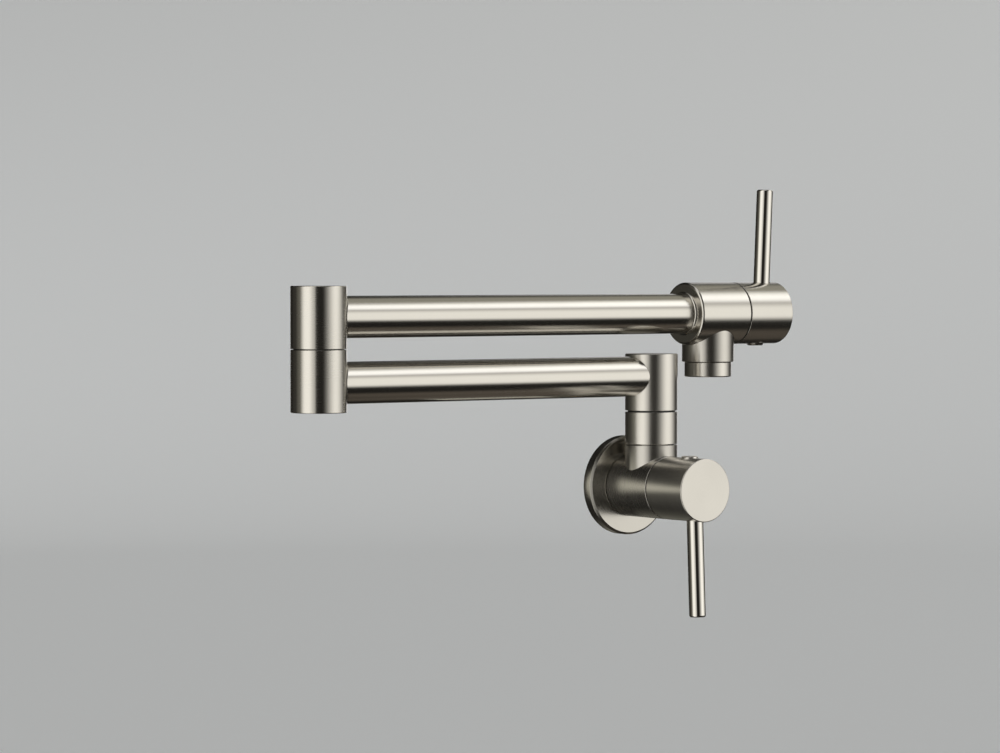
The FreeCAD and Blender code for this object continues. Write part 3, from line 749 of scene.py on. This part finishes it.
def nipple():
    """The inlet's threaded nipple, with a real helix that runs out at both ends."""
    skin = Skin(place(Vector(), Y, Z))
    end = nipple_high.y
    angles = [2 * math.pi * i / THREAD_SEGMENTS for i in range(THREAD_SEGMENTS)]
    rows = []
    for row in range(THREAD_ROWS + 1):
        height = THREAD_START + (end - THREAD_START) * row / THREAD_ROWS
        fade = min(1.0, (height - THREAD_START) / THREAD_PITCH, (end - height) / THREAD_PITCH)
        pairs = []
        for angle in angles:
            phase = 2 * math.pi * height / THREAD_PITCH - angle
            cut = THREAD_DEPTH * (fade * (0.5 - 0.5 * math.cos(phase)) + 0.5 * (1 - fade))
            slope = THREAD_DEPTH * fade * math.pi / THREAD_PITCH * math.sin(phase)
            outward = Vector((math.cos(angle), math.sin(angle), 0))
            pairs.append((outward * (thread_r - cut) + Z * height, outward + Z * slope))
        rows.append(skin.row(pairs))
    for low_row, high_row in zip(rows, rows[1:]):
        skin.bridge(low_row, high_row)
    root_r = thread_r - THREAD_DEPTH / 2
    bottom = THREAD_START - NIPPLE_DEPTH
    bore_end = bottom + NIPPLE_FLOOR
    skin.turn(outline([
        (root_r, end, 0), (NIPPLE_BORE_R, end, TINY_EDGE), (NIPPLE_BORE_R, bore_end, 0), (0, bore_end, 0),
    ]), angles)
    skin.turn(outline([(0, bottom, 0), (root_r, bottom, TINY_EDGE), (root_r, THREAD_START, 0)]), angles)
    return piece("inlet_nipple_thread", skin, "inlet_nipple", slot_finishes["raw_brass"])


nipple()


# Handles: hub with its lever and plug

def handle(prefix, origin, along, towards, length, nickel, rod_nickel):
    """A handle in local coordinates: z out of the barrel from the hub's back, x along the lever."""
    skin = Skin(place(origin, along, towards))
    lean = math.radians(LEVER_LEAN)
    lever_at = length - LEVER_SETBACK
    root = lever_at + math.tan(lean) * barrel_r
    low = 2 * EDGE
    high = length - 2 * HUB_EDGE
    half_span = math.radians(HANDLE_HOLE_SPAN)
    socket_r = lever_r + FIT_GAP
    socket_floor = hole_ending(socket_r, barrel_r - LEVER_SOCKET_DEPTH)
    socket = Opening(0, root, socket_r, HOLE_EDGE, -1, half_span, socket_floor)
    pocket_r = plug_r + FIT_GAP
    pocket_floor = hole_ending(pocket_r, barrel_r - PLUG_POCKET_DEPTH)
    pocket = Opening(math.pi, length - SCREW_SETBACK, pocket_r, HOLE_EDGE, -1, half_span, pocket_floor)
    barrel_surface(skin, barrel_r, low, high, [socket, pocket])
    skin.turn(outline([(0, SEAM_RELIEF, 0), (barrel_r, SEAM_RELIEF, HOLE_EDGE), (barrel_r, low, 0)]))
    skin.turn(outline([(barrel_r, high, 0), (barrel_r, length, HUB_EDGE), (0, length, 0)]))
    piece(prefix + "_handle_hub_finish", skin, prefix + "_handle_hub", nickel)

    direction = towards * math.cos(lean) + along * math.sin(lean)
    side = along.cross(towards)
    lever_start = barrel_r - LEVER_SEAT_DEPTH
    turned_piece(
        prefix + "_lever", origin + along * lever_at, direction, side,
        [(0, lever_start, 0), (lever_r, lever_start, TINY_EDGE), (lever_r, LEVER_REACH, LEVER_ROUND),
         (0, LEVER_REACH, 0)],
        rod_nickel,
    )
    plug = Skin(place(origin + along * (length - SCREW_SETBACK), -towards, side))
    plug.turn(outline([
        (0, barrel_r - PLUG_SEAT_DEPTH, 0),
        (plug_r, barrel_r - PLUG_SEAT_DEPTH, 0),
        (plug_r, math.sqrt(barrel_r ** 2 - plug_r ** 2), TINY_EDGE),
        (PLUG_FACE_R, barrel_r + plug_proud, PLUG_ROUND),
        (0, barrel_r + plug_proud, 0),
    ]))
    piece(prefix + "_handle_plug_finish", plug, prefix + "_handle_plug", nickel)


wall_lever_nickel = turned_nickel(
    "nickel_wall_lever", Z, Vector((0, hub_low.y + LEVER_SETBACK, 0)), colour=LEVER_NICKEL,
    roughness=0.05, grain=0.1, stretch=0.3,
)
outlet_lever_nickel = turned_nickel(
    "nickel_outlet_lever", Z, Vector((outlet_hub_high.x - LEVER_SETBACK, post_y, 0)),
    colour=LEVER_NICKEL, roughness=0.05, grain=0.1, stretch=0.3,
)
handle("wall", Vector((0, hub_high.y, 0)), -Y, -Z, hub_high.y - hub_low.y, wall_hub_nickel,
       wall_lever_nickel)
handle("outlet", Vector((outlet_hub_low.x, post_y, upper_axis_z)), X, Z,
       outlet_hub_high.x - outlet_hub_low.x, outlet_hub_nickel, outlet_lever_nickel)


# Arms

def arm_tube(node, height, housings, material):
    """A tube along X. Each end is hollowed to fit round a housing (centre, radius) or cut straight."""
    skin = Skin(place(Vector((0, post_y, height)), X, Y))
    angles = [2 * math.pi * i / SEGMENTS for i in range(SEGMENTS)]
    across = [Vector((math.cos(a), math.sin(a), 0)) for a in angles]
    ends = []
    for side, (centre, housing_r) in zip((1, -1), housings):
        reach = [
            math.sqrt(housing_r ** 2 - (tube_r * out.x) ** 2) + TUBE_GAP if housing_r else 0
            for out in across
        ]
        ends.append([centre + side * (r + TUBE_EDGE) for r in reach])

    def row(middles, side, angle):
        pairs = []
        for out, middle in zip(across, middles):
            normal = out * math.cos(angle) - Z * (side * math.sin(angle))
            centre = out * (tube_r - TUBE_EDGE) + Z * middle
            pairs.append((centre + normal * TUBE_EDGE, normal))
        return skin.row(pairs)

    turns = [math.pi / 2 * i / ARC_STEPS for i in range(ARC_STEPS + 1)]
    rows = [row(ends[0], 1, turn) for turn in reversed(turns)]
    for i in range(1, TUBE_ROWS):
        rows.append(row([a + (b - a) * i / TUBE_ROWS for a, b in zip(*ends)], 1, 0))
    rows += [row(ends[1], -1, turn) for turn in turns]
    for low_row, high_row in zip(rows, rows[1:]):
        skin.bridge(low_row, high_row)
    for edge, side, places in ((rows[0], 1, ends[0]), (rows[-1], -1, ends[1])):
        inner = [
            (out * (tube_r - TUBE_WALL) + Z * (middle - side * TUBE_EDGE), Z * -side)
            for out, middle in zip(across, places)
        ]
        bore = [(point, -out) for (point, normal), out in zip(inner, across)]
        floor_at = sum(places) / SEGMENTS + side * tube_r
        floor_row = [(out * (tube_r - TUBE_WALL) + Z * floor_at, -out) for out in across]
        skin.bridge(edge, skin.row(inner))
        skin.bridge(skin.row(bore), skin.row(floor_row))
        skin.fan(skin.row([(point, Z * -side) for point, normal in floor_row]), Z * floor_at, Z * -side)
    return piece(node + "_finish", skin, node, material)


arm_tube("lower_tube", lower_axis_z, ((elbow_x, elbow_r), (0, post_r)), lower_tube_nickel)
arm_tube(
    "upper_tube", upper_axis_z, ((elbow_x, elbow_r), (outlet_low.x + BOSS_SOCKET, None)),
    upper_tube_nickel,
)


def lower_elbow():
    """The elbow's lower housing, with the hole of its lock screw at the back."""
    skin = Skin(place(elbow_centre, Z, Y))
    bottom = lower_elbow_low.z
    top = lower_elbow_high.z
    low = bottom + ELBOW_END
    high = top - ELBOW_END
    floor_of_hole = hole_ending(LOCK_HOLE_R, elbow_r - LOCK_HOLE_DEPTH)
    half_span = math.radians(LOCK_HOLE_SPAN)
    lock = Opening(0, top - LOCK_DROP, LOCK_HOLE_R, HOLE_EDGE, -1, half_span, floor_of_hole)
    barrel_surface(skin, elbow_r, low, high, [lock])
    skin.turn(outline([(0, bottom, 0), (elbow_r, bottom, SOFT_EDGE), (elbow_r, low, 0)]))
    skin.turn(outline([(elbow_r, high, 0), (elbow_r, top, SEAM_EDGE), (0, top, 0)]))
    return piece("lower_elbow_finish", skin, "lower_elbow_housing", elbow_nickel)


lower_elbow()
turned_piece(
    "upper_elbow_housing", elbow_centre, Z, X,
    [(0, upper_elbow_low.z, 0), (elbow_r, upper_elbow_low.z, SEAM_EDGE),
     (elbow_r, upper_elbow_high.z, SOFT_EDGE), (0, upper_elbow_high.z, 0)],
    elbow_nickel,
)


# Outlet

def outlet_body():
    """The outlet valve's body: a barrel with a boss for the tube and a neck that points down."""
    skin = Skin(place(outlet_centre, X, -Z))
    face = outlet_low.x + BOSS_LENGTH
    low = face + 2 * OUTLET_ROUND
    end = outlet_high.x - SEAM_RELIEF
    high = end - 2 * EDGE
    drop = upper_axis_z - outlet_low.z
    ending = neck_ending(post_r, drop, EDGE, post_r / 2, drop - post_r / 2)
    neck = Opening(0, outlet_x, post_r, JOINT_FILLET, 1, math.radians(NECK_SPAN), ending)
    barrel_surface(skin, barrel_r, low, high, [neck])
    skin.turn(outline([
        (0, outlet_low.x + BOSS_SOCKET + FIT_GAP, 0),
        (tube_r + FIT_GAP, outlet_low.x + BOSS_SOCKET + FIT_GAP, 0),
        (tube_r + FIT_GAP, outlet_low.x, TINY_EDGE),
        (BOSS_R, outlet_low.x, BOSS_EDGE),
        (BOSS_R, face, TINY_EDGE),
        (barrel_r, face, OUTLET_ROUND),
        (barrel_r, low, 0),
    ]))
    skin.turn(outline([(barrel_r, high, 0), (barrel_r, end, EDGE), (0, end, 0)]))
    return piece("outlet_valve_body_finish", skin, "outlet_valve_body", outlet_nickel)


outlet_body()
shell_top = upper_axis_z - outlet_low.z + AERATOR_SEAM
mouth = upper_axis_z - aerator_low.z
turned_piece(
    "aerator_housing", Vector((outlet_x, post_y, upper_axis_z)), -Z, X,
    [
        (AERATOR_BORE_R, shell_top, TINY_EDGE),
        (aerator_r, shell_top, EDGE),
        (aerator_r, mouth, AERATOR_ROUND),
        (AERATOR_LIP_R, mouth, EDGE),
        (AERATOR_LIP_R, mouth - AERATOR_LIP, TINY_EDGE),
        (AERATOR_BORE_R, mouth - AERATOR_LIP, TINY_EDGE),
    ],
    aerator_nickel, closed=True,
)


# Stage, light and camera

def panel(shader, azimuth, elevation, strength, colour, left, right, bottom, top):
    """Soft-edged light by direction. Each side is (angle, softness) in degrees."""
    middle = (left[0] + right[0]) / 2
    turned_by = shader.math("WRAP", shader.math("SUBTRACT", azimuth, middle), 180.0, -180.0)
    edges = (
        (turned_by, left[0] - middle, left[1], 1),
        (turned_by, right[0] - middle, right[1], -1),
        (elevation, bottom[0], bottom[1], 1),
        (elevation, top[0], top[1], -1),
    )
    total = strength
    for value, angle, softness, side in edges:
        low = angle - softness / 2
        high = angle + softness / 2
        rise = shader.smooth(value, low, high) if side > 0 else shader.smooth(value, low, high, 1.0, 0.0)
        total = shader.math("MULTIPLY", rise, total)
    light = shader.vector("SCALE", colour)
    shader.tree.links.new(total, light.node.inputs["Scale"])
    return light


def studio_light():
    """Soft panels of light, placed by direction over a dim ground tone."""
    world = bpy.data.worlds.new("studio")
    bpy.context.scene.world = world
    world.use_nodes = True
    world.node_tree.nodes.clear()
    shader = Shader(world.node_tree)
    way = shader.add("ShaderNodeTexCoord").outputs["Generated"]
    parts = shader.add("ShaderNodeSeparateXYZ", {0: way}).outputs
    azimuth = shader.math("ARCTAN2", parts[0], shader.math("MULTIPLY", parts[1], -1.0))
    azimuth = shader.math("DEGREES", azimuth)
    elevation = shader.math("DEGREES", shader.math("ARCSINE", parts[2]))
    dim = (0.018, 0.017, 0.015)
    white = (1.0, 1.0, 1.0)
    warm = (1.0, 0.985, 0.94)
    olive = (1.0, 0.97, 0.82)
    brown = (1.0, 0.84, 0.68)
    # Strength, colour, then the left, right, bottom and top sides
    panels = (
        (0.62, warm, (-106, 26), (-48, 8), (-60, 20), (62, 20)),
        (0.66, warm, (-106, 26), (-64, 26), (-60, 20), (62, 20)),
        (1.36, warm, (9, 56), (68, 56), (-16, 16), (28, 30)),
        (1.75, white, (28, 24), (88, 24), (33, 12), (51, 8)),
        (0.14, olive, (-132, 24), (-104, 16), (-40, 20), (40, 20)),
        (0.03, olive, (-165, 16), (-124, 16), (-14, 16), (16, 16)),
        (0.12, brown, (50, 30), (125, 30), (-57, 8), (-44, 10)),
        (0.84, white, (116, 14), (141, 6), (-12, 10), (24, 10)),
        (0.20, olive, (144, 8), (174, 16), (-34, 20), (-6, 10)),
        (0.45, warm, (150, 20), (210, 20), (58, 14), (76, 10)),
        (1.10, white, (-170, 10), (170, 10), (74, 14), (95, 1)),
        (0.36, olive, (60, 30), (128, 24), (20, 20), (66, 10)),
        (0.04, brown, (-170, 10), (170, 10), (-95, 1), (-66, 12)),
    )
    total = dim
    for strength, colour, left, right, bottom, top in panels:
        light = panel(shader, azimuth, elevation, strength, colour, left, right, bottom, top)
        total = shader.vector("ADD", light, total)
    background = shader.add("ShaderNodeBackground", {"Color": total, "Strength": 1.0})
    shader.add("ShaderNodeOutputWorld", {"Surface": background.outputs[0]})


CARD_LOW = Vector((-120, 2, -22))
CARD_HIGH = Vector((-34, 2, 26))
CARD_STRENGTH = 0.66
CARD_COLOUR = (1.0, 0.97, 0.84, 1)


def reflector():
    """A small soft card beside the wall plate, seen only as a reflection in the wall valve."""
    material = bpy.data.materials.new("soft_card")
    shader = Shader(node_tree(material))
    height = shader.add(
        "ShaderNodeSeparateXYZ", {0: shader.add("ShaderNodeTexCoord").outputs["Generated"]}
    ).outputs[2]
    lower_half = shader.smooth(height, 0.0, 0.5)
    upper_half = shader.smooth(height, 0.5, 1.0, 1.0, 0.0)
    glow = shader.math("MULTIPLY", shader.math("MULTIPLY", lower_half, upper_half), CARD_STRENGTH)
    light = shader.add("ShaderNodeEmission", {"Color": CARD_COLOUR, "Strength": glow})
    clear = shader.add("ShaderNodeBsdfTransparent")
    back = shader.add("ShaderNodeNewGeometry").outputs["Backfacing"]
    mixed = shader.add("ShaderNodeMixShader", {0: back, 1: light.outputs[0], 2: clear.outputs[0]})
    shader.add("ShaderNodeOutputMaterial", {"Surface": mixed.outputs[0]})
    low, high = CARD_LOW / METRE, CARD_HIGH / METRE
    outer_edge = [(low.x, low.z), (high.x, low.z), (high.x, high.z), (low.x, high.z)]
    corners = [(x, low.y, z) for x, z in outer_edge]
    mesh = bpy.data.meshes.new("soft_card")
    mesh.from_pydata(corners, [], [(0, 1, 2, 3)])
    mesh.materials.append(material)
    card = bpy.data.objects.new("soft_card", mesh)
    bpy.context.scene.collection.objects.link(card)
    card.visible_camera = False
    card.visible_diffuse = False
    card.visible_shadow = False
    card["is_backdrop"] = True


FLOOR_COLOUR = (0.94, 0.967, 1.0, 1)
FLOOR_Z = -235.0
FLOOR_R = 2600.0
FLOOR_BEND_R = 900.0
FLOOR_BEND_STEPS = 24
FLOOR_SEGMENTS = 96
BACKDROP_TOP = 4000.0


def floor():
    """A pale round floor that bends up into a backdrop on every side."""
    material = bpy.data.materials.new("pale_floor")
    shader = Shader(node_tree(material))
    surface = shader.add("ShaderNodeBsdfPrincipled", {
        "Base Color": FLOOR_COLOUR, "Roughness": 0.8, "Specular IOR Level": 0.2,
    })
    shader.add("ShaderNodeOutputMaterial", {"Surface": surface.outputs[0]})
    profile = [(1.0, FLOOR_Z), (FLOOR_R / 2, FLOOR_Z)]
    for i in range(FLOOR_BEND_STEPS + 1):
        angle = math.pi / 2 * i / FLOOR_BEND_STEPS
        profile.append((
            FLOOR_R + FLOOR_BEND_R * math.sin(angle), FLOOR_Z + FLOOR_BEND_R * (1 - math.cos(angle))
        ))
    profile.append((FLOOR_R + FLOOR_BEND_R, BACKDROP_TOP))
    around = FLOOR_SEGMENTS
    points = []
    for radius, height in profile:
        for i in range(around):
            angle = 2 * math.pi * i / around
            point = Vector((radius * math.cos(angle), radius * math.sin(angle), height))
            points.append(point / METRE)
    faces = []
    for low in range(0, (len(profile) - 1) * around, around):
        high = low + around
        for i in range(around):
            j = (i + 1) % around
            faces.append((low + i, high + i, high + j, low + j))
    faces.append(tuple(range(around)))
    mesh = bpy.data.meshes.new("floor")
    mesh.from_pydata(points, [], faces)
    mesh.shade_smooth()
    mesh.materials.append(material)
    ground = bpy.data.objects.new("floor", mesh)
    bpy.context.scene.collection.objects.link(ground)
    ground.visible_glossy = False
    ground.visible_diffuse = False
    ground.visible_shadow = False
    ground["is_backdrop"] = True


def camera():
    """The camera at the photograph's place and angle."""
    yaw = math.radians(CAMERA_YAW)
    pitch = math.radians(CAMERA_PITCH)
    roll = math.radians(CAMERA_ROLL)
    forward = Vector((math.sin(yaw) * math.cos(pitch), math.cos(yaw) * math.cos(pitch), math.sin(pitch)))
    level = Vector((math.cos(yaw), -math.sin(yaw), 0))
    upward = level.cross(forward)
    right = level * math.cos(roll) + upward * math.sin(roll)
    view = Matrix((right, right.cross(forward), -forward)).transposed().to_4x4()
    lens = bpy.data.cameras.new("camera")
    lens.sensor_width = SENSOR_WIDTH
    lens.lens = CAMERA_LENS
    lens.clip_end = CAMERA_CLIP_END
    shot = bpy.data.objects.new("camera", lens)
    bpy.context.scene.collection.objects.link(shot)
    shot.matrix_world = Matrix.Translation(Vector(CAMERA_PLACE) / METRE) @ view
    bpy.context.scene.camera = shot


studio_light()
reflector()
floor()
camera()
bpy.context.scene.view_settings.view_transform = "Standard"

[[list(corner) for corner in box] for box in (cad_box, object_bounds())]
